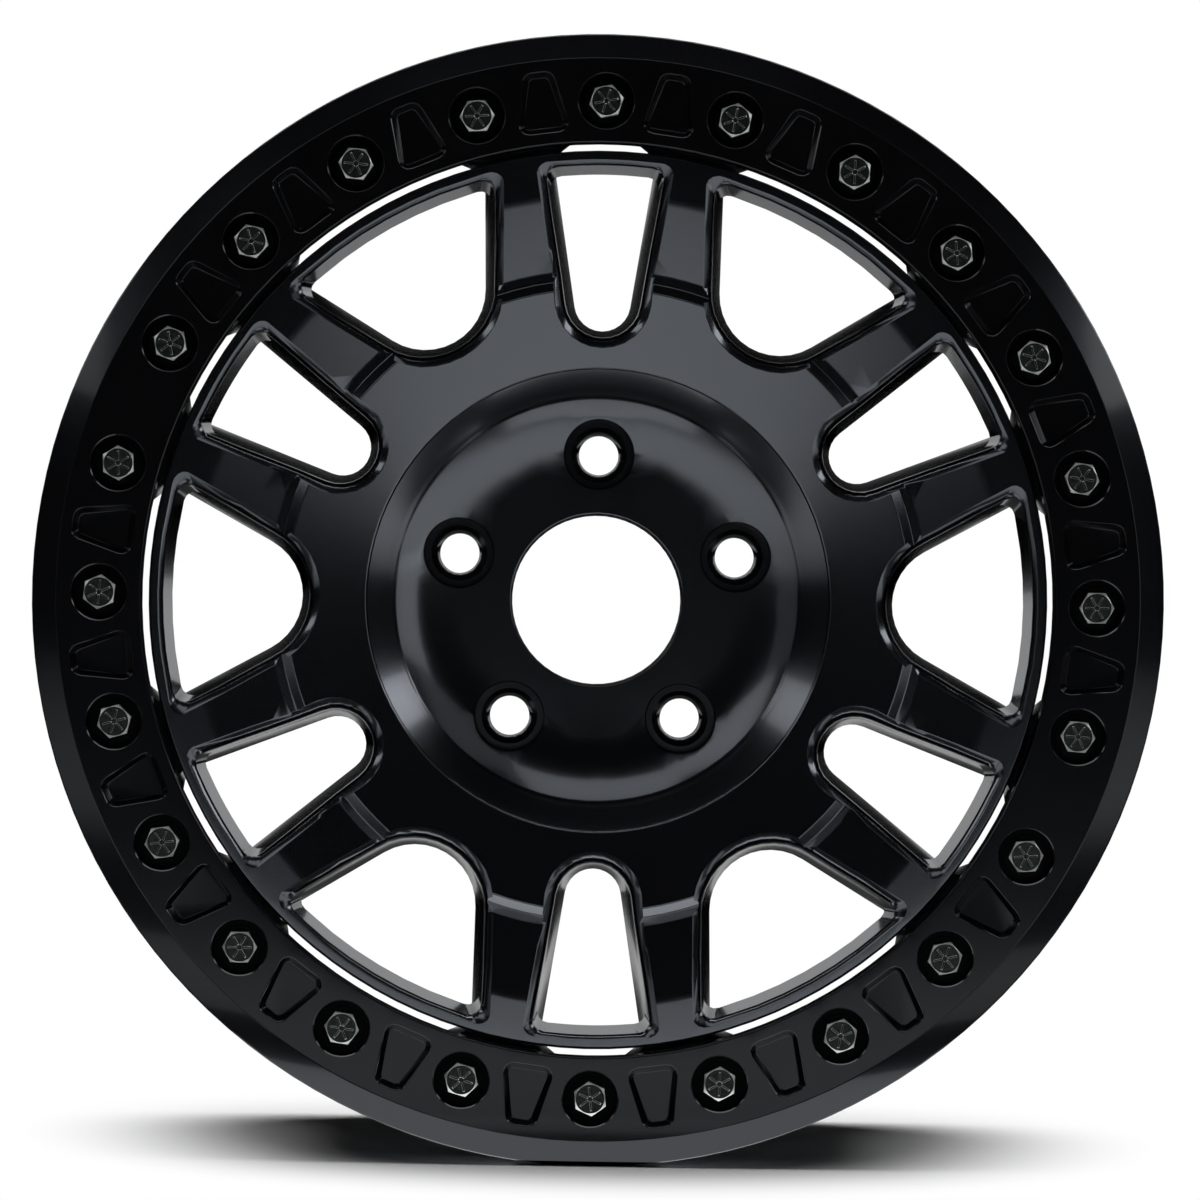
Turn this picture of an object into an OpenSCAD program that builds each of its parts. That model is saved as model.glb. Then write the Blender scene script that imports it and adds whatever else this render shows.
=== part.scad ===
// Off-road car wheel with a bolted bead lock ring, 17 inch by 9 inch.
// One casting carries the hub, twelve spokes, the front band and the barrel.
// A flat ring, held by a circle of hex bolts, clamps the outer tyre bead.
// Inside this file the wheel lies on its back: z = 0 is the hub mounting face
// and +z points out of the front. The last lines stand it up, front towards -Y.

/* [Lock ring] */
// Outer radius of the lock ring
ring_r = 237.5; // [233:0.5:245]
// Width of the lock ring from its bore to its edge
ring_w = 46; // [45:0.1:47]
// Thickness of the lock ring at its bolts
ring_t = 12; // [10:0.5:14]
// Width of the outer bevel
ring_bevel_w = 10.5; // [7.5:0.5:13.5]
// Depth of the outer bevel at the rim
ring_bevel_d = 4.8; // [3:0.1:6]
// Depth of the clamping lip behind the bolted face
ring_lip = 3; // [2:0.5:5]
// Height of the two clamping ridges on that lip
ring_ridge = 0.8; // [0.4:0.1:1.2]

/* [Ring bolts] */
// Number of ring bolts
bolt_n = 24; // [16:8:32]
// Distance of the bolt circle from the edge of the ring
bolt_edge = 28.5; // [28:0.1:29.5]
// Radius of the bolt shank
bolt_r = 3.97; // [3.5:0.01:4.2]
// Length of the bolt under its head
bolt_len = 25.4; // [22:0.1:27]
// Width of the hex head across its flats
bolt_af = 12.7; // [11:0.1:13]
// Height of the hex head
bolt_head = 5.2; // [4:0.1:5.4]
// Radius of the washer
washer_r = 8.7; // [8:0.1:9]
// Thickness of the washer
washer_t = 1.6; // [1:0.1:1.8]
// Radius of the counterbore round each bolt head
sink_r = 11.6; // [10.5:0.1:12.2]
// Depth of the counterbore
sink_d = 7; // [6:0.1:8]
// Chamfer round the counterbores and the socket wells
rim_chamfer = 0.5; // [0.2:0.1:0.8]
// Outer radius of the threaded insert
insert_r = 5.55; // [5.2:0.05:5.8]
// Length of the threaded insert
insert_len = 12.7; // [10:0.1:15]

/* [Ring pockets] */
// Distance of a pocket's narrow outer end from the edge of the ring
pocket_edge = 14.9; // [13.5:0.1:17.5]
// Length of a pocket along the radius
pocket_len = 26.2; // [22:0.1:27]
// Half width of a pocket at its outer end
pocket_out_w = 6.3; // [5:0.1:7]
// Half width of a pocket at its inner end
pocket_in_w = 11.4; // [9:0.1:12]
// Corner radius of a pocket
pocket_corner = 4.4; // [3.5:0.1:5]
// Depth of a pocket
pocket_d = 3.2; // [2:0.1:4]
// Width of a pocket's sloping wall
pocket_slope = 2.2; // [1.5:0.1:2.6]
// Width of the eased edges at the top and the foot of that wall
pocket_ease = 0.5; // [0.2:0.1:0.7]

/* [Hub] */
// Radius of the centre bore
bore_r = 37.05; // [33:0.05:40]
// Thickness of the hub pad
pad_t = 27; // [24:0.5:32]
// Radius of the hub mounting face
pad_r = 79; // [77:0.5:81]
// Number of lug holes
lug_n = 5; // [4:1:6]
// Radius of the lug hole circle
lug_circle_r = 63.5; // [61:0.1:64]
// Radius of a lug hole
lug_r = 8.7; // [7:0.1:9]
// Radius of the socket well round a lug hole
lug_well_r = 15; // [14:0.1:15.5]
// Depth of the socket well below the pad
lug_well_d = 10; // [8:0.5:12]
// Radius of the conical nut seat at its mouth
lug_seat_r = 12.2; // [11:0.1:12.8]
// Depth of the lightening pockets in the mounting face
pad_pocket_d = 8; // [4:0.5:10]
// Width of those pockets along the radius
pad_pocket_w = 20.5; // [15:0.5:23]
// Width of the mounting face outside those pockets
pad_land = 6; // [5:0.5:8]
// Width of the curved foot of the hub bowl
bowl_foot_w = 17; // [14:0.5:20]
// Height of that foot
bowl_foot_h = 9.8; // [8:0.1:12]
// Lean of the bowl's wall above its foot
bowl_lean = 5.8; // [4:0.1:8]
// Thickness of the bowl's wall at the spokes
bowl_t = 10; // [8:0.5:12]
// Thickness of the web under the bowl's foot
web_t = 12.5; // [10:0.5:14]

/* [Face] */
// Distance from the mounting face to the front of the ring
face_z = 139; // [136:0.5:142]
// Radius of the ridge round the hub bowl
ridge_r = 97.3; // [95:0.1:99]
// Depth of that ridge behind the front of the ring
ridge_d = 17.5; // [15:0.1:20]
// Radius of the outer edge of the hub disc
disc_r = 131; // [130:0.1:133]
// Depth of that edge behind the front of the ring
disc_d = 10.5; // [9.5:0.1:12]
// Width of the step from the hub disc down to the spokes
step_w = 4; // [3:0.1:5]
// Width of the level land at the foot of the step
land_w = 4; // [3:0.1:6]
// Depth of that land behind the front of the ring
spoke_in_d = 13.4; // [13:0.1:15]
// Gap between the front band and the bore of the ring
band_gap = 2.7; // [2.3:0.1:3.5]
// Width of the front band
band_w = 18.9; // [17.8:0.1:20.8]
// Width of the band's bridge beyond a slot
bridge_w = 9.1; // [8.3:0.1:10.3]
// Depth of the band behind the front of the ring
band_d = 8; // [7:0.1:9]
// Thickness of the band where it bridges a slot
band_t = 16; // [14:0.5:18]
// Thickness of the spokes at the hub
spoke_hub_t = 41.5; // [38:0.5:45]
// Thickness of the spokes at the barrel
spoke_rim_t = 41; // [38:1:44]

/* [Slots] */
// Half angle between the sides of a narrow slot
narrow_side = 9; // [7:0.5:10]
// Radius of the round end of a narrow slot
narrow_end_r = 12; // [11:0.1:13]
// Distance of that round end's centre from the axis
narrow_end_s = 126.7; // [125.5:0.1:128]
// Half angle between the sides of a wide slot
wide_side = 28.9; // [27.5:0.1:29.5]
// Radius of the round end of a wide slot
wide_end_r = 25.9; // [25:0.1:26.5]
// Distance of that round end's centre from the axis
wide_end_s = 151.7; // [151:0.1:153]
// Corner radius at the outer end
slot_corner = 5; // [4:0.1:7.5]
// Corner radius of the pockets behind the band
pocket_round = 12; // [8:0.5:14]
// Draft angle of the side walls
side_draft = 4.7; // [3:0.1:6]
// Draft angle of the wall at the hub end
end_draft = 6.5; // [5:0.5:10]
// Draft angle of the wall at the band
band_draft = 13; // [10:0.5:15]
// Width of the flare of the walls towards the back
flare_w = 2; // [1:0.1:3]
// Height of that flare
flare_h = 8; // [6:0.5:10]
// Radius that rounds the slot edges on the spokes
spoke_round = 5; // [3:0.1:5.5]
// Radius that rounds the slot edges on the hub disc
disc_round = 6; // [4:0.1:6.5]
// Radius that rounds the slot edges on the band
band_round = 3; // [2:0.1:4]
// Chamfer of the slot edges at the back
back_chamfer = 2; // [1:0.1:3]

/* [Barrel] */
// Distance from the front of the ring to the inboard edge
wheel_w = 250; // [240:1:262]
// Radius of the inboard bead seat at its flange
seat_r = 218.3; // [217.5:0.1:219]
// Height of the inboard flange above the bead seat
flange_h = 17.3; // [15:0.1:18]
// Thickness of the inboard flange
flange_t = 10; // [8:0.5:12]
// Width of the ring's clamping lip beyond the shoulder that the outer bead sits on
clamp_w = 19.6; // [19:0.1:20.5]
// Room for the clamped tyre bead
bead_gap = 17; // [15:0.5:19]
// Height of the inner clamping lip above the shoulder
lip_h = 10.1; // [8:0.1:12]
// Thickness of the inner clamping lip
lip_t = 6; // [5:0.5:7]
// Depth of the drop well below the shoulder
well_h = 16.9; // [15.9:0.1:17.4]
// Width of the drop well's floor
well_w = 28; // [24:1:32]
// Wall thickness of the drop well
well_t = 4.7; // [4.2:0.1:5]
// Outer radius of the plain barrel
barrel_r = 213; // [212:0.1:214.5]
// Wall thickness of the plain barrel
barrel_t = 6; // [5:0.1:7]
// Width of the inboard bead seat
seat_w = 18; // [16:0.5:20]
// Wall thickness under that seat
seat_t = 6.5; // [5.5:0.1:8]
// Height of the safety hump above the inboard bead seat
hump_h = 1.4; // [1:0.1:2]
// Radius of the valve hole
valve_r = 5.75; // [5.5:0.05:6]
// Angle of the valve hole from the wheel's axis
valve_lean = 60; // [50:1:65]

/* [Fits] */
// Gap between the ring's lip and the casting's shoulder
register_gap = 0.4; // [0.3:0.05:0.6]
// Radial clearance of a bolt in the ring
bolt_gap = 0.4; // [0.3:0.05:0.6]
// Radial clearance of a bolt in its insert, where the thread is plain
thread_gap = 0.08; // [0.05:0.01:0.15]
// Radial clearance of an insert in its hole
insert_gap = 0.05; // [0.03:0.01:0.1]

/* [Hidden] */
// segments of a turned section, and of circles as small as a bolt, a lug hole and a well
turn = 180;
bolt_turn = 32;
lug_turn = 48;
well_turn = 64;
// segments of each rounded corner of a section
round_steps = 4;
// slots of each kind
slot_n = 6;
// the two ring pockets left out, where the face stays plain
bare_pockets = [10, 22];
// turns of the rounded slot edge from the wall towards the face
edge_turns = [0, 26, 52, 78];
// overrun of cuts, short past a face and long into open space
over = 1;
far = 20;

// radii that follow the lock ring
ring_bore_r = ring_r - ring_w;
bolt_circle_r = ring_r - bolt_edge;
shoulder_r = ring_r - clamp_w;
lip_r = shoulder_r + lip_h;
well_r = shoulder_r - well_h;
well_in_r = well_r - well_t;
band_r = ring_bore_r - band_gap;
band_in_r = band_r - band_w;
slot_r = band_r - bridge_w;
spoke_in_r = disc_r + step_w;
land_r = spoke_in_r + land_w;

// heights above the mounting face
shelf_z = face_z - ring_t;
back_z = face_z - wheel_w;
ridge_z = face_z - ridge_d;
disc_z = face_z - disc_d;
spoke_in_z = face_z - spoke_in_d;
band_z = face_z - band_d;
band_back_z = band_z - band_t;
clamp_z = shelf_z - ring_lip;
lip_z = clamp_z - bead_gap;
lip_back_z = lip_z - lip_t;
sink_z = face_z - sink_d;
flange_z = back_z + flange_t;
seat_end_z = flange_z + seat_w;

// the groove round the band, a little wider than the gap before it
groove_r = ring_bore_r + 2;
groove_z = band_back_z - 5;
// the pockets behind the band reach past the groove and open it between the spokes
pocket_back_r = groove_r + 2;
pocket_top_z = band_back_z - 3;
// the inserts sit a little below the shelf
insert_z = shelf_z - 0.5;

// back of the spokes, a straight cone from the hub to the barrel
spoke_back_hub_z = spoke_in_z - spoke_hub_t;
spoke_back_rim_z = band_z - spoke_rim_t;
spoke_back_in_r = ridge_r + bowl_t;
flare_z = spoke_back_rim_z + back_chamfer + flare_h;

// the slopes from the lip into the drop well, out of it, and up to the hump
well_top_z = lip_back_z - 11;
well_slope = 34;
hump_z = seat_end_z + 8;
hump_slope = 12;

// front of the casting from the ridge to the band, as [radius, height, corner radius]
face_corners = [
    [ridge_r, ridge_z, 1.6],
    [disc_r, disc_z, 1],
    [spoke_in_r, spoke_in_z, 1.2],
    [land_r, spoke_in_z, 6],
    [band_in_r, band_z, 25],
    [band_r, band_z, 1.2]
];
// height of that front at a radius, for the slot edges
face_line = rounded([for (c = face_corners)
    [c[0], c[1], c[0] == ridge_r || c[0] == band_r ? 0 : c[2]]]);
function front_z(r) = lookup(r, face_line);
function back_of_spoke_z(r) =
    lookup(r, [[spoke_back_in_r, spoke_back_hub_z], [well_in_r, spoke_back_rim_z]]);

function mix(a, b, t) = a + (b - a) * t;
function clamp01(t) = min(1, max(0, t));
function unit(v) = v / norm(v);

// point and half angle of a corner in a closed outline of [x, y, corner radius]
function corner_at(corners, i) =
    let (n = len(corners), c = corners[(i + n) % n]) [c[0], c[1]];
function half_angle(corners, i) =
    let (b = corner_at(corners, i))
    acos(unit(corner_at(corners, i - 1) - b) * unit(corner_at(corners, i + 1) - b)) / 2;

// length that a corner's arc takes from the lines beside it
function corner_reach(corners, i) =
    let (n = len(corners)) corners[(i + n) % n][2] / tan(half_angle(corners, i));

// share of its radius that a corner keeps, so that two arcs never run into each other
function kept_share(corners, i) =
    min([1, for (side = [-1, 1])
        let (
            line = norm(corner_at(corners, i + side) - corner_at(corners, i)),
            taken = corner_reach(corners, i) + corner_reach(corners, i + side)
        )
        taken > line ? line / taken : 1]);

// an arc in the place of a corner
function corner_arc(corners, i, steps) =
    let (
        b = corner_at(corners, i),
        u = unit(corner_at(corners, i - 1) - b),
        v = unit(corner_at(corners, i + 1) - b),
        half = half_angle(corners, i),
        r = corners[i][2] * kept_share(corners, i),
        middle = b + unit(u + v) * r / sin(half),
        start = b + u * r / tan(half) - middle,
        sweep = sign(cross(start, b - middle)) * (180 - 2 * half)
    )
    [for (k = [0:steps])
        let (t = sweep * k / steps)
        middle + [start[0] * cos(t) - start[1] * sin(t), start[0] * sin(t) + start[1] * cos(t)]];

// an outline from corners given as [x, y, corner radius]
function rounded(corners, steps = round_steps) =
    [for (i = [0:len(corners) - 1]) each
        corners[i][2] == 0 ? [corner_at(corners, i)] : corner_arc(corners, i, steps)];

// the corners of a wall's other side, which lies to the right of the line that they follow
function other_side(line, wall) =
    [for (i = [1:len(line) - 2])
        let (
            a = corner_at(line, i - 1),
            b = corner_at(line, i),
            c = corner_at(line, i + 1),
            to_b = unit(b - a),
            to_c = unit(c - b),
            across = [to_b[1] + to_c[1], -to_b[0] - to_c[0]]
        )
        b + across * wall[i] / (1 + to_b * to_c)];

// a solid skinned over closed rings of points, all with the same count
module skin(rings) {
    n = len(rings[0]);
    last = len(rings) - 1;
    polyhedron(
        points = [for (ring = rings) each ring],
        faces = [
            [for (i = [0:n - 1]) i],
            [for (i = [n - 1:-1:0]) last * n + i],
            for (k = [0:last - 1], i = [0:n - 1])
                let (j = (i + 1) % n, low = k * n, high = low + n)
                each [[low + i, high + j, low + j], [low + i, high + i, high + j]]
        ]
    );
}

module around(n, r, first = 0) {
    for (i = [0:n - 1])
        rotate(first + i * 360 / n)
            translate([r, 0, 0])
                children();
}

module bolt_places() {
    around(bolt_n, bolt_circle_r)
        children();
}

// wheel casting

module casting_section() {
    well_end = [well_r, well_top_z - well_w];
    barrel_start = [barrel_r - 1, well_top_z - well_w - well_slope];
    barrel_end = [barrel_r, hump_z + hump_slope];
    inside = other_side(
        [[well_r, well_top_z], well_end, barrel_start, barrel_end, [seat_r, hump_z], [seat_r, back_z]],
        [0, well_t, barrel_t, barrel_t, seat_t]
    );
    polygon(rounded([
        // centre bore and hub bowl
        [bore_r, 0, 0],
        [bore_r, pad_t, 1.2],
        [ridge_r - bowl_lean - bowl_foot_w, pad_t, 55],
        [ridge_r - bowl_lean, pad_t + bowl_foot_h, 7],
        each face_corners,
        // groove and bolting shelf
        [band_r, groove_z, 1.2],
        [groove_r, groove_z, 1.2],
        [groove_r, shelf_z, 0.6],
        [shoulder_r, shelf_z, 1],
        // bead shoulder and clamping lip
        [shoulder_r, lip_z, 2.5],
        [lip_r, lip_z, 2],
        [lip_r, lip_back_z, 2.5],
        [shoulder_r - 2, lip_back_z - 3, 4],
        // drop well and plain barrel
        [well_r, well_top_z, 6],
        [each well_end, 12],
        [each barrel_start, 20],
        [each barrel_end, 8],
        // safety hump, inboard bead seat and flange
        [seat_r + hump_h, hump_z, 3],
        [seat_r - 1.2, seat_end_z, 2.5],
        [seat_r, flange_z, 5],
        [seat_r + flange_h, flange_z + 0.5, 4],
        [seat_r + flange_h, back_z, 4.5],
        [seat_r + flange_h / 2, back_z, 3],
        // brake side of the barrel
        [seat_r - seat_t, flange_z + 6, 8],
        [each inside[3], 6],
        [each inside[2], 14],
        [each inside[1], 14],
        [each inside[0], 12],
        // back of the spokes and of the hub bowl
        [well_in_r, spoke_back_rim_z, 5],
        [spoke_back_in_r, spoke_back_hub_z, 9],
        [spoke_back_in_r - bowl_lean - 2, pad_t + bowl_foot_h - web_t, 9],
        [pad_r + 2, pad_t - web_t, 6],
        [pad_r, 0, 1.5]
    ]));
}

// a slot outline, anticlockwise, its axis along +x. Each item holds a point, its moves as the
// side walls and the wall at the band step out by 1, and its share of the band from 0 to 1
function slot_line(end_s, end_r, side, outer, corner) =
    let (
        to_side = [-sin(side), cos(side)],
        along = [cos(side), sin(side)],
        // centre of the corner arc: a corner radius inside the side, and inside the outer arc
        inner = outer - corner,
        foot = [end_s, 0] + (end_r - corner) * to_side,
        run = -foot * along + sqrt(pow(foot * along, 2) - foot * foot + inner * inner),
        mid = foot + run * along,
        tip = atan2(mid[1], mid[0]),
        // moves of the whole corner as one of its two sides steps out and the other one stays
        to_band = [cos(tip), sin(tip)],
        skew = to_side * to_band,
        side_move = (to_side - skew * to_band) / (1 - skew * skew),
        band_move = (to_band - skew * to_side) / (1 - skew * skew),
        still = [0, 0],
        end_steps = 6,
        side_steps = 4,
        corner_steps = 4,
        outer_steps = 3,
        half = concat(
            [for (i = [0:end_steps])
                let (a = 180 - (90 - side) * i / end_steps, out = [cos(a), sin(a)])
                [[end_s, 0] + end_r * out, out, still, 0]],
            [for (i = [1:side_steps - 1])
                let (from = [end_s, 0] + end_r * to_side, to = mid + corner * to_side)
                [mix(from, to, i / side_steps), to_side, still, 0]],
            [for (i = [0:corner_steps])
                let (a = mix(90 + side, tip, i / corner_steps))
                [mid + corner * [cos(a), sin(a)], side_move, band_move, i / corner_steps]],
            [for (i = [1:outer_steps])
                let (a = tip * (1 - i / outer_steps), out = [cos(a), sin(a)])
                [outer * out, still, out, 1]]
        ),
        flipped = [for (item = half)
            [[item[0][0], -item[0][1]], [item[1][0], -item[1][1]], [item[2][0], -item[2][1]], item[3]]]
    )
    concat(flipped, [for (i = [len(half) - 2:-1:1]) half[i]]);

// the point of an item after both walls have stepped out, at a height
function at(item, side_e, band_e, z) =
    let (p = item[0] + side_e * item[1] + band_e * item[2]) [p[0], p[1], z];

// how far the walls have stepped out at a height above the flare
function side_e(item, z) =
    let (draft = mix(side_draft, end_draft, clamp01(-item[1][0])))
    flare_w + tan(draft) * (z - flare_z);
function band_e(z) = tan(band_draft) * max(0, z - band_back_z);

// edge radius of an item, wider on the hub disc and smaller on the band
function edge_r(item) =
    let (hub_share = clamp01((spoke_in_r - norm(item[0])) / step_w))
    mix(mix(spoke_round, disc_round, hub_share), band_round, item[3]);

// one ring of the rounded front edge, turned by an angle from the wall
function edge_ring(line, turned) = [for (item = line)
    let (
        r = edge_r(item),
        near_z = front_z(norm(item[0])),
        guess = at(item, side_e(item, near_z) + r, band_e(near_z) + r, 0),
        foot_z = front_z(norm([guess[0], guess[1]])) - r,
        out = r * (1 - cos(turned))
    )
    at(item, side_e(item, foot_z) + out, band_e(foot_z) + out, foot_z + r * sin(turned))];

function level_ring(line, z) = [for (item = line) at(item, side_e(item, z), band_e(z), z)];
function raised(ring, z) = [for (p = ring) [p[0], p[1], z]];

// one ring of the chamfered back edge, a height above the back of the spokes
function back_ring(line, e, lift) = [for (item = line)
    at(item, e, 0, back_of_spoke_z(norm(item[0])) + lift)];

// the rings run from the back to the front, and none of them lies in a surface that it cuts
module slot_cut(end_s, end_r, side) {
    front = slot_line(end_s, end_r, side, slot_r, slot_corner);
    back = slot_line(end_s, end_r, side, pocket_back_r, pocket_round);
    edges = [for (turned = edge_turns) edge_ring(front, turned)];
    below = -0.3;
    skin([
        raised(back_ring(back, back_chamfer, 0), spoke_back_hub_z - far),
        back_ring(back, back_chamfer, below),
        back_ring(back, 0, back_chamfer),
        level_ring(back, flare_z),
        level_ring(back, pocket_top_z),
        level_ring(front, band_back_z),
        each edges,
        raised(edges[len(edges) - 1], face_z + over)
    ]);
}

// through hole, conical nut seat and socket well with a chamfered rim, spot faced into the pad
module lug_hole() {
    floor_z = pad_t - lug_well_d;
    seat_z = floor_z - (lug_seat_r - lug_r) / tan(30);
    rim_z = pad_t - 0.3;
    translate([0, 0, -over])
        cylinder(r = lug_r, h = pad_t + 2 * over, $fn = lug_turn);
    rotate_extrude($fn = well_turn)
        polygon([
            [0, seat_z],
            [lug_r, seat_z],
            [lug_seat_r, floor_z],
            [lug_well_r, floor_z],
            [lug_well_r, rim_z - rim_chamfer],
            [lug_well_r + rim_chamfer, rim_z],
            [lug_well_r + rim_chamfer, face_z],
            [0, face_z]
        ]);
}

// lightening pocket in the mounting face, between two lug holes
module pad_pocket() {
    wall = 5;
    span = 180 / lug_n - asin((lug_r + wall) / lug_circle_r);
    out_r = pad_r - pad_land;
    in_r = out_r - pad_pocket_w;
    arc_steps = 3;
    sides = [for (i = [0:arc_steps]) span * (2 * i / arc_steps - 1)];
    points = [
        for (a = sides) out_r * [cos(a), sin(a)],
        for (a = sides) in_r * [cos(a), -sin(a)]
    ];
    translate([0, 0, -over])
        linear_extrude(pad_pocket_d + over)
            polygon(rounded([for (i = [0:len(points) - 1])
                [each points[i], i % (arc_steps + 1) % arc_steps == 0 ? 4 : 0]]));
}

// valve hole: it leans forward out of the drop well towards the slot at the bottom
module valve_hole() {
    rotate(270)
        translate([well_r, 0, well_top_z - 10])
            rotate([0, -valve_lean, 0])
                cylinder(r = valve_r, h = 3 * far, center = true, $fn = lug_turn);
}

module wheel_casting() {
    insert_hole_z = insert_z - insert_len;
    color([0.05, 0.05, 0.055])
    difference() {
        rotate_extrude($fn = turn)
            casting_section();
        for (i = [0:slot_n - 1]) {
            rotate((i + 0.5) * 360 / slot_n)
                slot_cut(narrow_end_s, narrow_end_r, narrow_side);
            rotate(i * 360 / slot_n)
                slot_cut(wide_end_s, wide_end_r, wide_side);
        }
        around(lug_n, lug_circle_r, 90)
            lug_hole();
        around(lug_n, 0, 90 + 180 / lug_n)
            pad_pocket();
        bolt_places() {
            translate([0, 0, insert_hole_z - 8])
                cylinder(r = bolt_r + bolt_gap, h = face_z, $fn = bolt_turn);
            translate([0, 0, insert_hole_z])
                cylinder(r = insert_r + insert_gap, h = face_z, $fn = bolt_turn);
        }
        valve_hole();
    }
}

// lock ring

module ring_section() {
    lip_in_r = shoulder_r + register_gap;
    lip_chamfer = 0.8;
    ridge_half = 1.5;
    polygon(concat(
        rounded([
            [ring_bore_r, shelf_z, 0.5],
            [ring_bore_r, face_z, 0.9],
            [ring_r - ring_bevel_w, face_z, 1.5],
            [ring_r, face_z - ring_bevel_d, 1.2],
            [ring_r, clamp_z + 1, 1],
            [ring_r - 1.2, clamp_z, 0.5]
        ]),
        // two ridges that bite into the bead
        [for (r = [lip_in_r + 11.5, lip_in_r + 5.5]) each [
            [r + ridge_half, clamp_z],
            [r, clamp_z - ring_ridge],
            [r - ridge_half, clamp_z]
        ]],
        [
            [lip_in_r + lip_chamfer, clamp_z],
            [lip_in_r, clamp_z + lip_chamfer],
            [lip_in_r, shelf_z]
        ]
    ));
}

// outline of a ring pocket, grown by e, at a height above the face
function pocket_ring(e, z) =
    let (
        c = pocket_corner + e,
        out_r = ring_r - pocket_edge + e,
        in_r = ring_r - pocket_edge - pocket_len - e,
        corner_steps = 3
    )
    raised(rounded([
        [in_r, -pocket_in_w - e, c],
        [out_r, -pocket_out_w - e, c],
        [out_r, pocket_out_w + e, c],
        [in_r, pocket_in_w + e, c]
    ], corner_steps), face_z + z);

// the cutter's eased top edge runs on past the face, so no ring of it lies in the face
module ring_pocket() {
    rise = pocket_ease * tan(33);
    skin([
        pocket_ring(-pocket_slope - pocket_ease, -pocket_d),
        pocket_ring(-pocket_slope, rise - pocket_d),
        pocket_ring(-pocket_ease, -rise),
        pocket_ring(pocket_ease, rise)
    ]);
}

module lock_ring() {
    color([0.06, 0.06, 0.065])
    difference() {
        rotate_extrude($fn = turn)
            ring_section();
        bolt_places() {
            translate([0, 0, shelf_z - over])
                cylinder(r = bolt_r + bolt_gap, h = ring_t, $fn = bolt_turn);
            translate([0, 0, sink_z])
                cylinder(r = sink_r, h = ring_t, $fn = well_turn);
            translate([0, 0, face_z - rim_chamfer])
                cylinder(r1 = sink_r, r2 = sink_r + 2 * rim_chamfer, h = 2 * rim_chamfer, $fn = well_turn);
        }
        for (i = [0:bolt_n - 1])
            if (len(search(i, bare_pockets)) == 0)
                rotate((i + 0.5) * 360 / bolt_n)
                    ring_pocket();
    }
}

// fasteners

// hex bolt whose head is chamfered at its corners, with a bevelled tip
module ring_bolt() {
    head_r = bolt_af / 2 / cos(30) + over;
    face_r = bolt_af / 2 - 0.3;
    tip = 0.8;
    translate([0, 0, sink_z + washer_t]) {
        intersection() {
            cylinder(r = bolt_af / 2 / cos(30), h = bolt_head, $fn = 6);
            rotate_extrude($fn = lug_turn)
                polygon([
                    [0, 0],
                    [head_r, 0],
                    [head_r, bolt_head - (head_r - face_r) * tan(30)],
                    [face_r, bolt_head],
                    [0, bolt_head]
                ]);
        }
        translate([0, 0, -bolt_len]) {
            cylinder(r1 = bolt_r - tip, r2 = bolt_r, h = tip, $fn = bolt_turn);
            translate([0, 0, tip])
                cylinder(r = bolt_r, h = bolt_len - tip + bolt_head / 2, $fn = bolt_turn);
        }
    }
}

// the heads stopped at whatever turn they were tight
module ring_bolts() {
    color([0.32, 0.33, 0.34])
    for (i = [0:bolt_n - 1])
        rotate(i * 360 / bolt_n)
            translate([bolt_circle_r, 0, 0])
                rotate(i * 37 % 60)
                    ring_bolt();
}

module ring_washers() {
    color([0.12, 0.12, 0.13])
    bolt_places()
        translate([0, 0, sink_z])
            difference() {
                cylinder(r = washer_r, h = washer_t, $fn = lug_turn);
                translate([0, 0, -over])
                    cylinder(r = bolt_r + bolt_gap, h = washer_t + 2 * over, $fn = bolt_turn);
            }
}

module thread_inserts() {
    color([0.55, 0.52, 0.4])
    bolt_places()
        translate([0, 0, insert_z - insert_len])
            difference() {
                cylinder(r = insert_r, h = insert_len, $fn = bolt_turn);
                translate([0, 0, -over])
                    cylinder(r = bolt_r + thread_gap, h = insert_len + 2 * over, $fn = bolt_turn);
            }
}

module upright() {
    rotate([90, 0, 0])
        children();
}

upright() wheel_casting();
upright() lock_ring();
upright() ring_bolts();
upright() ring_washers();
upright() thread_inserts();
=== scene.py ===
"""Looks of an off-road car wheel with a bolted lock ring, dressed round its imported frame."""

import math

import bmesh
import bpy
import numpy as np
from mathutils import Matrix, Vector


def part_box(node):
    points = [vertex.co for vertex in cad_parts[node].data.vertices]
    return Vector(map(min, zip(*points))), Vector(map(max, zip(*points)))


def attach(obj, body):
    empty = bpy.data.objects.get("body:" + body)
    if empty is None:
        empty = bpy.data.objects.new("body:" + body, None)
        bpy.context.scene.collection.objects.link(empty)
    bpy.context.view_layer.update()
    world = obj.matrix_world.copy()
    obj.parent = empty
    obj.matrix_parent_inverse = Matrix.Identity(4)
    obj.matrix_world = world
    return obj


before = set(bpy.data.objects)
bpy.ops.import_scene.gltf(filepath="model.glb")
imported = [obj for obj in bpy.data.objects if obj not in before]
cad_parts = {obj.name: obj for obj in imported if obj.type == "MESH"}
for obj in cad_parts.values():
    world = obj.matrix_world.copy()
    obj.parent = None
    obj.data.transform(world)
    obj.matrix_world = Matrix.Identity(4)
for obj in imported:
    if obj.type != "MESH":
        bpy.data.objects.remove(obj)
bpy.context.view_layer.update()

# The photograph, in pixels of its square frame, and how far the wheel in it is turned on its axis
PHOTO_SIDE = 1200
RING_CENTRE_X = 598.3
RING_RADIUS_PX = 567.25
PATTERN_TURN = math.radians(0.95)

# The camera, in metres from the middle of the ring's front face
CAMERA_DISTANCE = 2.6
CAMERA_LEFT = 0.017
SENSOR_MM = 36.0
CLIP_END = 100

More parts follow.
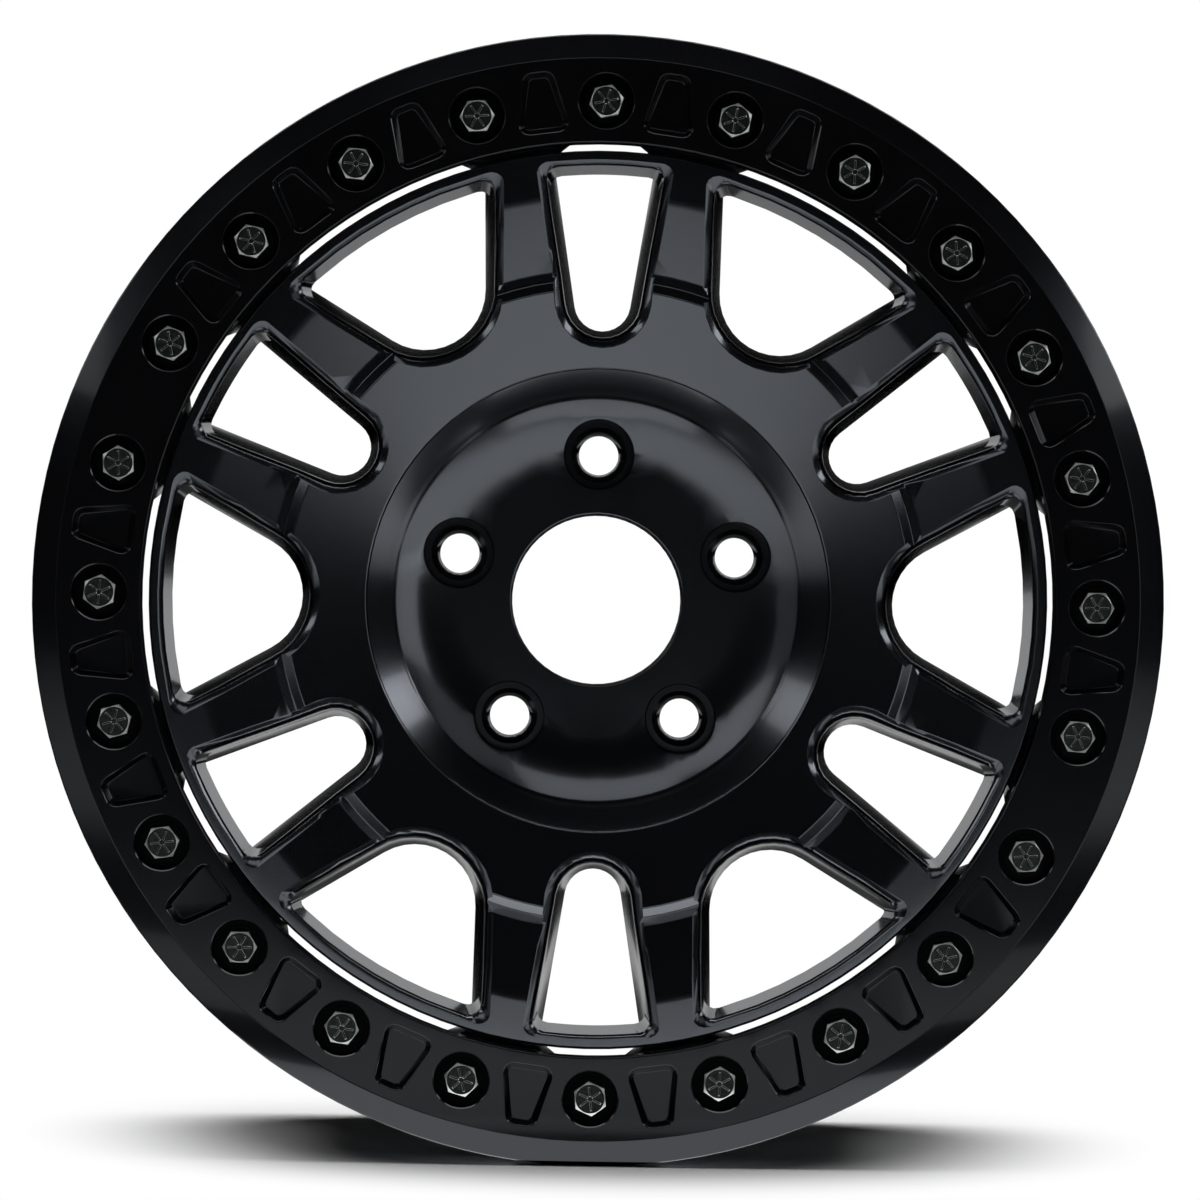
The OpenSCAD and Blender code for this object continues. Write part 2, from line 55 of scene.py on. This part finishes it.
# The wheel, from the frame
ring_low, ring_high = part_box("lock_ring")
RING_R = (ring_high.z - ring_low.z) / 2
FRONT_Y = ring_low.y
FLOOR_Z = ring_low.z
HEAD_FACE_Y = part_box("ring_bolts")[0].y
BOLTS = 24
WASHER_R = 0.0087
BOLT_CIRCLE_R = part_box("ring_washers")[1].z - WASHER_R

# The bolt holes in the ring: radius, and how far behind its front face they start and end
HOLE_R = 0.01175
HOLE_TOP = 0.0012
HOLE_FLOOR = 0.0125

# The steep wall of the hub bowl: its radii, its reach along Y, and how far its normals lean
# off the axis at each radius, in degrees
BOWL_R = (0.0862, 0.09726)
BOWL_Y = (-0.1207, -0.035)
LEAN_R = (0.0862, 0.0885, 0.091, 0.0972)
LEAN_DEGREES = (27, 29.5, 32, 33.5)

# The raised bars on a bolt's head: their ends from its middle, half width, rise in front of the
# face, sink into it, slope of the ends, width of the top by that of the foot, and turn per bolt
MARKS = 6
MARK_INNER = 0.0009
MARK_OUTER = 0.0051
MARK_HALF = 0.0005
MARK_RISE = 0.00015
MARK_SINK = 0.0001
MARK_SLOPE = 0.0003
MARK_TOP = 0.6
MARK_TURN_DEGREES = 37

# Corner normals: vertices that share a place, lengths that count as none, and how far a
# triangle may face off the surface of revolution that it lies on
SAME_PLACE = 2e-6
SHORTEST = 1e-6
TINY = 1e-20
SAME_FACING = math.cos(math.radians(5))
SOFT_CREASE = math.radians(30)
SHARP_CREASE = math.radians(25)

# Black powder coat and its bluish sheen
COAT_DARK = (0.0015, 0.0015, 0.002)
COAT_LIGHT = (0.0025, 0.0025, 0.003)
SHEEN_TINT = (0.79, 0.87, 1.0)

# Light
FLOOR_ALBEDO = 0.9
SUN_ANGLE = math.radians(60)
SUN_TILT = math.radians(14)
AMBIENT = 0.01

# The floor: half its side, and the ellipse outside which the camera sees it plain white
FLOOR_HALF = 12.0
WHITE_RADIUS_X = 0.26
WHITE_RADIUS_Y = 0.32
WHITE_CENTRE_Y = 0.03

# Painted light and shadow on the floor, seen only in reflections: how bright the floor's colour is,
# by metres along Y and along X, up to its reach
FLOOR_REACH = 4.0
FLOOR_AHEAD = (
    (-3.1, 0.04), (-2.1, 0.2), (-1.7, 0.5), (-1.4, 0.85), (-1.2, 1.0), (-0.42, 1.0),
    (-0.34, 0.06), (-0.1, 0.06), (0.45, 0.04), (0.62, 0.45), (0.86, 0.5), (0.93, 0.0))
FLOOR_ACROSS = (
    (-2.4, 0.0), (-1.2, 0.45), (-0.4, 0.9), (0.0, 1.0), (0.7, 1.0), (1.3, 0.65), (2.6, 0.0))

# How bright the studio is in reflections, by degrees off the way that the wheel's front faces
STUDIO = (
    (0, 0.015), (80, 0.015), (140, 0.01), (144, 0.75), (156, 0.75), (160, 0.004), (180, 0.004))

# Lamps that only show in reflections: name, middle, aim, width, depth, radiance
DOWN, UP = (0, 0, -1), (0, 0, 1)
RIGHT, LEFT = (1, 0, 0), (-1, 0, 0)
BACK = (0, 1, 0)
LOW_Z = FLOOR_Z + 0.002
AHEAD_Y = -1.05
SOFTBOXES = (
    ("softbox_top", (0, 0.0, 1.5), DOWN, 2.4, 0.74, 4.0),
    ("softbox_left", (-1.2, -0.085, 0.65), RIGHT, 1.7, 0.37, 2.0),
    ("softbox_right", (1.2, -0.085, 0.65), LEFT, 1.7, 0.37, 3.5),
    ("low_middle", (0, -0.1425, LOW_Z), UP, 0.38, 0.055, 2.4),
    ("low_left", (-0.27, -0.22, LOW_Z), UP, 0.2, 0.05, 0.9),
    ("low_right", (0.27, -0.22, LOW_Z), UP, 0.2, 0.05, 0.9),
    ("foot_strip", (0, -0.32, LOW_Z), UP, 0.26, 0.08, 1.2),
    ("front_top", (-0.05, AHEAD_Y, 1.0), BACK, 0.9, 0.56, 1.0),
    ("front_top_left", (-0.7, AHEAD_Y, 0.68), BACK, 0.5, 0.64, 1.1),
    ("front_right", (1.0, AHEAD_Y, 0.05), BACK, 0.56, 0.6, 1.0),
    ("front_left", (-1.0, AHEAD_Y, -0.05), BACK, 0.5, 0.8, 0.2),
    ("front_top_right", (0.7, AHEAD_Y, 0.68), BACK, 0.5, 0.64, 0.3))


def map_range(tree, value, source=(0, 1), target=(0, 1), kind="LINEAR"):
    """value taken from the source range to the target range, and held inside it."""
    node = tree.nodes.new("ShaderNodeMapRange")
    node.interpolation_type = kind
    names = ("From Min", "From Max", "To Min", "To Max")
    for name, number in zip(names, (*source, *target)):
        node.inputs[name].default_value = number
    tree.links.new(value, node.inputs["Value"])
    return node.outputs["Result"]


def maths(tree, operation, a, b):
    """One operation on a and b, each a number or the output of a node."""
    node = tree.nodes.new("ShaderNodeMath")
    node.operation = operation
    for socket, value in zip(node.inputs, (a, b)):
        if isinstance(value, (int, float)):
            socket.default_value = value
        else:
            tree.links.new(value, socket)
    return node.outputs[0]


def mixed_colour(tree, factor, a, b):
    """A colour that goes from a at 0 to b at 1, each a colour or the output of a node."""
    node = tree.nodes.new("ShaderNodeMix")
    node.data_type = "RGBA"
    for name, value in (("Factor", factor), ("A", a), ("B", b)):
        if isinstance(value, tuple):
            node.inputs[name].default_value = (*value, 1)
        else:
            tree.links.new(value, node.inputs[name])
    return node.outputs["Result"]


def split_axes(tree, vector):
    """The X, Y and Z outputs of a vector."""
    node = tree.nodes.new("ShaderNodeSeparateXYZ")
    tree.links.new(vector, node.inputs["Vector"])
    return node.outputs


def noise(tree, vector, scale, detail, roughness=0.5):
    node = tree.nodes.new("ShaderNodeTexNoise")
    node.inputs["Scale"].default_value = scale
    node.inputs["Detail"].default_value = detail
    node.inputs["Roughness"].default_value = roughness
    tree.links.new(vector, node.inputs["Vector"])
    return node.outputs["Fac"]


def ramp(tree, value, stops):
    """value taken through straight lines between (place, colour) stops, places from 0 to 1."""
    node = tree.nodes.new("ShaderNodeValToRGB")
    while len(node.color_ramp.elements) < len(stops):
        node.color_ramp.elements.new(1.0)
    for element, (place, colour) in zip(node.color_ramp.elements, stops):
        element.position = place
        element.color = (*colour, 1)
    tree.links.new(value, node.inputs["Fac"])
    return node.outputs["Color"]


def levels(tree, value, reach, stops):
    """value, from -reach to reach, taken through (place from 0 to 1, grey level) stops."""
    return ramp(tree, map_range(tree, value, (-reach, reach)),
                [(place, (level, level, level)) for place, level in stops])


def bump(tree, height, strength, distance):
    node = tree.nodes.new("ShaderNodeBump")
    node.inputs["Strength"].default_value = strength
    node.inputs["Distance"].default_value = distance
    tree.links.new(height, node.inputs["Height"])
    return node.outputs["Normal"]


def new_material(name):
    """A material with its node tree, its shader and the object's own coordinates."""
    material = bpy.data.materials.new(name)
    material.use_nodes = True
    tree = material.node_tree
    place = tree.nodes.new("ShaderNodeTexCoord").outputs["Object"]
    return material, tree, tree.nodes["Principled BSDF"], place


def satin_paint(name, dark, light, rough, ior, coat, coat_rough):
    """Black powder coat: a nearly black base, a soft lacquer sheen and fine orange peel."""
    material, tree, shader, place = new_material(name)
    cloud = noise(tree, place, scale=35, detail=3)
    grain = noise(tree, place, scale=900, detail=2)
    base = ramp(tree, cloud, [(0.3, dark), (0.7, light)])
    peel = bump(tree, grain, strength=0.04, distance=0.0002)
    tree.links.new(base, shader.inputs["Base Color"])
    tree.links.new(map_range(tree, grain, target=rough), shader.inputs["Roughness"])
    tree.links.new(peel, shader.inputs["Normal"])
    shader.inputs["IOR"].default_value = ior
    shader.inputs["Specular Tint"].default_value = (*SHEEN_TINT, 1)
    shader.inputs["Coat Weight"].default_value = coat
    shader.inputs["Coat Roughness"].default_value = coat_rough
    return material


def steel(name, dark, light, painted_highlight, rough):
    """Plated steel: mottled on faces to the front, with a painted highlight colour on faces turned
    away from it, such as chamfers and flanks.
    """
    material, tree, shader, place = new_material(name)
    mottle = noise(tree, place, scale=700, detail=4, roughness=0.6)
    flat = ramp(tree, mottle, [(0.3, dark), (0.7, light)])
    pits = bump(tree, mottle, strength=0.25, distance=0.0002)
    # Painted highlight: faces turned away from the front take the light highlight colour in place
    # of the mottle.
    facing = split_axes(tree, tree.nodes.new("ShaderNodeNewGeometry").outputs["Normal"])
    ahead = maths(tree, "MULTIPLY", facing["Y"], -1.0)
    front = map_range(tree, ahead, source=(0.88, 0.99), kind="SMOOTHSTEP")
    tree.links.new(mixed_colour(tree, front, painted_highlight, flat), shader.inputs["Base Color"])
    tree.links.new(map_range(tree, mottle, target=rough), shader.inputs["Roughness"])
    tree.links.new(pits, shader.inputs["Normal"])
    shader.inputs["Metallic"].default_value = 1.0
    return material


def welded(mesh):
    """For each vertex, the vertex that stands for all at its place."""
    work = bmesh.new()
    work.from_mesh(mesh)
    work.verts.ensure_lookup_table()
    same = bmesh.ops.find_doubles(work, verts=work.verts, dist=SAME_PLACE)["targetmap"]
    stands_for = np.arange(len(mesh.vertices))
    for vertex, target in same.items():
        stands_for[vertex.index] = target.index
    work.free()
    return stands_for


def unit(vectors):
    """The vectors along the last axis, each brought to length 1."""
    return vectors / np.maximum(np.linalg.norm(vectors, axis=-1), TINY)[..., None]


def turned_normals(points, normals):
    """Corner normals of triangles on a surface of revolution about Y, and which are on one."""
    radius = np.hypot(points[..., 0], points[..., 2])
    depth = points[..., 1]
    step = np.stack([np.roll(radius, -1, 1) - radius, np.roll(depth, -1, 1) - depth], -1)
    longest = np.linalg.norm(step, axis=2).argmax(1)
    rows = np.arange(len(points))
    length = np.linalg.norm(step[rows, longest], axis=1)
    along = unit(step[rows, longest])
    other = step[rows, (longest + 1) % 3]
    off_line = np.abs(other[:, 0] * along[:, 1] - other[:, 1] * along[:, 0])
    profile = np.stack([along[:, 1], -along[:, 0]], 1)
    out = unit(points.mean(1)[:, [0, 2]])
    face_profile = np.stack([(normals[:, [0, 2]] * out).sum(1), normals[:, 1]], 1)
    side = np.sign((face_profile * profile).sum(1))
    profile = profile * side[:, None]
    agrees = (face_profile * profile).sum(1) > SAME_FACING
    on_line = (off_line < SAME_PLACE) & (length > SHORTEST) & agrees
    outward = unit(points[..., [0, 2]])
    corner = np.stack(
        [outward[..., 0] * profile[:, None, 0],
         np.broadcast_to(profile[:, None, 1], radius.shape),
         outward[..., 1] * profile[:, None, 0]], -1)
    return corner, on_line


def bend_bowl(points, normals, result):
    """Turns the normals of the bowl's steep wall to the front, so its foot's glow fades up it."""
    corner = points.reshape(-1, 3)
    radius = np.hypot(corner[:, 0], corner[:, 2])
    depth = corner[:, 1]
    out = unit(corner[:, [0, 2]])
    faces_axis = (np.repeat(normals, 3, 0)[:, [0, 2]] * out).sum(1) < 0
    wall = (radius > BOWL_R[0]) & (radius < BOWL_R[1]) & faces_axis
    wall &= (depth > BOWL_Y[0]) & (depth < BOWL_Y[1])
    lean = np.radians(np.interp(radius, LEAN_R, LEAN_DEGREES))[wall]
    result[wall] = np.stack(
        [-out[wall, 0] * np.sin(lean), -np.cos(lean), -out[wall, 1] * np.sin(lean)], -1)


def shade_smoothly(obj, crease, bend=None):
    """Sets corner normals: exact on turned surfaces, averaged by area across edges below crease."""
    mesh = obj.data
    count = len(mesh.polygons)
    corners = np.empty(count * 3, np.int32)
    mesh.loops.foreach_get("vertex_index", corners)
    places = np.empty(len(mesh.vertices) * 3)
    mesh.vertices.foreach_get("co", places)
    triangles = corners.reshape(-1, 3)
    points = places.reshape(-1, 3)[triangles]
    cross = np.cross(points[:, 1] - points[:, 0], points[:, 2] - points[:, 0])
    area = np.linalg.norm(cross, axis=1)
    normals = unit(cross)
    corner_normals = np.repeat(normals[:, None], 3, 1)
    turned, on_line = turned_normals(points, normals)
    corner_normals[on_line] = turned[on_line]

    vertex = welded(mesh)[triangles].ravel()
    own = corner_normals.reshape(-1, 3)
    weight = np.repeat(area, 3)
    order = np.argsort(vertex, kind="stable")
    starts = np.flatnonzero(np.diff(vertex[order], prepend=-1))
    ends = np.append(starts[1:], len(order))
    limit = math.cos(crease)
    result = own.copy()
    for start, end in zip(starts, ends):
        fan = order[start:end]
        near = own[fan] @ own[fan].T > limit
        result[fan] = unit((near * weight[fan]) @ own[fan])
    if bend:
        bend(points, normals, result)
    mesh.polygons.foreach_set("use_smooth", [True] * count)
    mesh.normals_split_custom_set(result.tolist())


def dress(node, material, crease, bend=None):
    """Gives a node of the frame its material and its shading."""
    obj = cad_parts[node]
    shade_smoothly(obj, crease, bend)
    obj.data.materials.clear()
    obj.data.materials.append(material)


def paint_shade_in_bolt_holes(material):
    """Gives the floor and wall of each bolt hole in the ring a darker, duller material, as painted
    shade in the recess.
    """
    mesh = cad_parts["lock_ring"].data
    mesh.materials.append(material)
    middles = np.empty(len(mesh.polygons) * 3)
    mesh.polygons.foreach_get("center", middles)
    x, y, z = middles.reshape(-1, 3).T
    pitch = 2 * math.pi / BOLTS
    nearest = np.round(np.arctan2(z, x) / pitch) * pitch
    away = np.hypot(x - BOLT_CIRCLE_R * np.cos(nearest), z - BOLT_CIRCLE_R * np.sin(nearest))
    inside = (away < HOLE_R) & (y > FRONT_Y + HOLE_TOP) & (y < FRONT_Y + HOLE_FLOOR)
    mesh.polygons.foreach_set("material_index", inside.astype(np.int32))


def add_object(name, data):
    obj = bpy.data.objects.new(name, data)
    bpy.context.scene.collection.objects.link(obj)
    return obj


def bar_corners(centre, turn, inset, narrow, rise):
    """Four corners of a bar on a bolt's head, rise in front of its face."""
    along = Vector((math.cos(turn), 0, math.sin(turn)))
    across = Vector((-along.z, 0, along.x))
    inner, outer = MARK_INNER + inset, MARK_OUTER - inset
    return [centre + along * r + across * side * MARK_HALF * narrow - Vector((0, rise, 0))
            for r, side in ((inner, -1), (outer, -1), (outer, 1), (inner, 1))]


def grade_marks(material):
    """Six raised radial bars on each bolt head."""
    mesh = bpy.data.meshes.new("bolt_grade_marks")
    work = bmesh.new()
    for bolt in range(BOLTS):
        angle = 2 * math.pi * bolt / BOLTS
        centre = Vector((BOLT_CIRCLE_R * math.cos(angle), HEAD_FACE_Y,
                         BOLT_CIRCLE_R * math.sin(angle)))
        first = angle + math.radians(bolt * MARK_TURN_DEGREES % (360 // MARKS))
        for mark in range(MARKS):
            turn = first + mark * math.pi / (MARKS / 2)
            foot = bar_corners(centre, turn, 0, 1, -MARK_SINK)
            top = bar_corners(centre, turn, MARK_SLOPE, MARK_TOP, MARK_RISE)
            low = [work.verts.new(place) for place in foot]
            high = [work.verts.new(place) for place in top]
            work.faces.new(high)
            work.faces.new(low[::-1])
            for i in range(4):
                j = (i + 1) % 4
                work.faces.new((low[i], low[j], high[j], high[i]))
    bmesh.ops.recalc_face_normals(work, faces=work.faces)
    work.to_mesh(mesh)
    work.free()
    mesh.materials.append(material)
    marks = add_object("bolt_grade_marks", mesh)
    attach(marks, "root")


def floor_levels(tree, place, stops):
    """How bright the floor's painted light and shadow are in reflections at a place, from (metres,
    level) stops.
    """
    return levels(tree, place, FLOOR_REACH,
                  [((FLOOR_REACH + metres) / (2 * FLOOR_REACH), level) for metres, level in stops])


def far_from_wheel(tree, place):
    """0 on the floor near the wheel, rising to 1 at the edge of the white ellipse."""
    flat = tree.nodes.new("ShaderNodeCombineXYZ")
    tree.links.new(maths(tree, "DIVIDE", place["X"], WHITE_RADIUS_X), flat.inputs["X"])
    y = maths(tree, "SUBTRACT", place["Y"], WHITE_CENTRE_Y)
    tree.links.new(maths(tree, "DIVIDE", y, WHITE_RADIUS_Y), flat.inputs["Y"])
    length = tree.nodes.new("ShaderNodeVectorMath")
    length.operation = "LENGTH"
    tree.links.new(flat.outputs["Vector"], length.inputs[0])
    return map_range(tree, length.outputs["Value"], source=(0.55, 1.0), kind="SMOOTHSTEP")


def make_floor():
    """A white floor. The camera sees it lit near the wheel and plain white further off."""
    mesh = bpy.data.meshes.new("floor")
    mesh.from_pydata(
        [(x * FLOOR_HALF, y * FLOOR_HALF, FLOOR_Z)
         for x, y in ((-1, -1), (1, -1), (1, 1), (-1, 1))], [], [(0, 1, 2, 3)])
    floor = add_object("floor", mesh)
    material = bpy.data.materials.new("floor_white")
    material.use_nodes = True
    tree = material.node_tree
    tree.nodes.clear()
    output = tree.nodes.new("ShaderNodeOutputMaterial")
    diffuse = tree.nodes.new("ShaderNodeBsdfDiffuse")
    white = tree.nodes.new("ShaderNodeEmission")
    mixed = tree.nodes.new("ShaderNodeMixShader")
    path = tree.nodes.new("ShaderNodeLightPath").outputs
    place = split_axes(tree, tree.nodes.new("ShaderNodeNewGeometry").outputs["Position"])
    # Painted light and shadow: glossy rays see the floor's colour follow FLOOR_AHEAD and
    # FLOOR_ACROSS in place of its plain albedo.
    mirrored = maths(tree, "MULTIPLY", floor_levels(tree, place["Y"], FLOOR_AHEAD),
                     floor_levels(tree, place["X"], FLOOR_ACROSS))
    colour = mixed_colour(tree, path["Is Glossy Ray"], (FLOOR_ALBEDO,) * 3, mirrored)
    plain = maths(tree, "MULTIPLY", path["Is Camera Ray"], far_from_wheel(tree, place))
    tree.links.new(colour, diffuse.inputs["Color"])
    tree.links.new(plain, mixed.inputs["Fac"])
    tree.links.new(diffuse.outputs["BSDF"], mixed.inputs[1])
    tree.links.new(white.outputs["Emission"], mixed.inputs[2])
    tree.links.new(mixed.outputs["Shader"], output.inputs["Surface"])
    mesh.materials.append(material)


def make_world():
    """White to the camera; in reflections a dark studio with white paper set behind the wheel."""
    world = bpy.data.worlds.new("studio")
    world.use_nodes = True
    bpy.context.scene.world = world
    tree = world.node_tree
    path = tree.nodes.new("ShaderNodeLightPath").outputs
    direction = split_axes(tree, tree.nodes.new("ShaderNodeTexCoord").outputs["Generated"])
    mirrored = levels(tree, direction["Y"], 1.0, [
        (0.5 - 0.5 * math.cos(math.radians(degrees)), level) for degrees, level in STUDIO])
    seen = maths(tree, "MAXIMUM", path["Is Camera Ray"], path["Is Transmission Ray"])
    strength = maths(tree, "MAXIMUM", seen, AMBIENT)
    colour = mixed_colour(tree, path["Is Glossy Ray"], strength, mirrored)
    tree.links.new(colour, tree.nodes["Background"].inputs["Color"])


def make_sun():
    """A broad soft light from above and a little behind: its shadow lies below and before."""
    light = bpy.data.lights.new("overhead", "SUN")
    light.energy = math.pi * (1 - AMBIENT * FLOOR_ALBEDO) / FLOOR_ALBEDO / math.cos(SUN_TILT)
    light.angle = SUN_ANGLE
    lamp = add_object("overhead", light)
    lamp.location = (0, 0, 2)
    lamp.rotation_euler = (-SUN_TILT, 0, 0)
    lamp.visible_glossy = False


def make_softbox(name, middle, aim, width, depth, radiance):
    """A rectangular lamp that only shows in reflections."""
    light = bpy.data.lights.new(name, "AREA")
    light.shape = "RECTANGLE"
    light.size = width
    light.size_y = depth
    light.energy = math.pi * width * depth * radiance
    lamp = add_object(name, light)
    lamp.location = middle
    lamp.rotation_euler = Vector(aim).to_track_quat("-Z", "Y").to_euler()
    lamp.visible_camera = False
    lamp.visible_diffuse = False


def make_camera():
    """The photograph's camera, with the ring at its place and size in the picture."""
    data = bpy.data.cameras.new("camera")
    camera = add_object("camera", data)
    bpy.context.scene.camera = camera
    data.sensor_width = SENSOR_MM
    focal_px = RING_RADIUS_PX * CAMERA_DISTANCE / RING_R
    data.lens = SENSOR_MM * focal_px / PHOTO_SIDE
    data.shift_x = (PHOTO_SIDE / 2 - RING_CENTRE_X) / PHOTO_SIDE
    data.clip_end = CLIP_END
    target = Vector((0, FRONT_Y, 0))
    camera.location = target + Vector((-CAMERA_LEFT, -CAMERA_DISTANCE, 0))
    look = (target - camera.location).to_track_quat("-Z", "Y")
    roll = Matrix.Rotation(PATTERN_TURN, 3, "Z")
    camera.rotation_euler = (look.to_matrix() @ roll).to_euler()


make_camera()
casting_paint = satin_paint(
    "casting_satin_black", COAT_DARK, COAT_LIGHT,
    rough=(0.15, 0.2), ior=1.8, coat=0.5, coat_rough=0.08)
ring_paint = satin_paint(
    "ring_satin_black", COAT_DARK, COAT_LIGHT,
    rough=(0.16, 0.22), ior=1.3, coat=0.3, coat_rough=0.08)
# Painted shade for the bolt holes in the ring: a darker base, weaker reflection and no coat.
hole_painted_shade = satin_paint(
    "ring_hole_painted_shade", dark=(0.0008, 0.0008, 0.001), light=(0.0012, 0.0012, 0.0015),
    rough=(0.3, 0.4), ior=1.12, coat=0.0, coat_rough=0.1)
# The lighter edge colour of the bolts, washers and inserts is a painted highlight on their chamfers
# and flanks.
bolt_steel = steel(
    "bolt_dark_zinc", dark=(0.016, 0.018, 0.018), light=(0.042, 0.046, 0.046),
    painted_highlight=(0.4, 0.42, 0.42), rough=(0.3, 0.45))
washer_steel = steel(
    "washer_black_oxide", dark=(0.003, 0.003, 0.0032), light=(0.006, 0.006, 0.0064),
    painted_highlight=(0.05, 0.05, 0.05), rough=(0.35, 0.5))
insert_steel = steel(
    "insert_yellow_zinc", dark=(0.45, 0.40, 0.25), light=(0.6, 0.55, 0.38),
    painted_highlight=(0.7, 0.65, 0.5), rough=(0.25, 0.4))
dress("wheel_casting", casting_paint, SOFT_CREASE, bend_bowl)
dress("lock_ring", ring_paint, SOFT_CREASE)
paint_shade_in_bolt_holes(hole_painted_shade)
dress("ring_bolts", bolt_steel, SHARP_CREASE)
dress("ring_washers", washer_steel, SHARP_CREASE)
dress("thread_inserts", insert_steel, SHARP_CREASE)
grade_marks(bolt_steel)
make_floor()
make_world()
make_sun()
for softbox in SOFTBOXES:
    make_softbox(*softbox)
bpy.context.scene.view_settings.view_transform = "Standard"
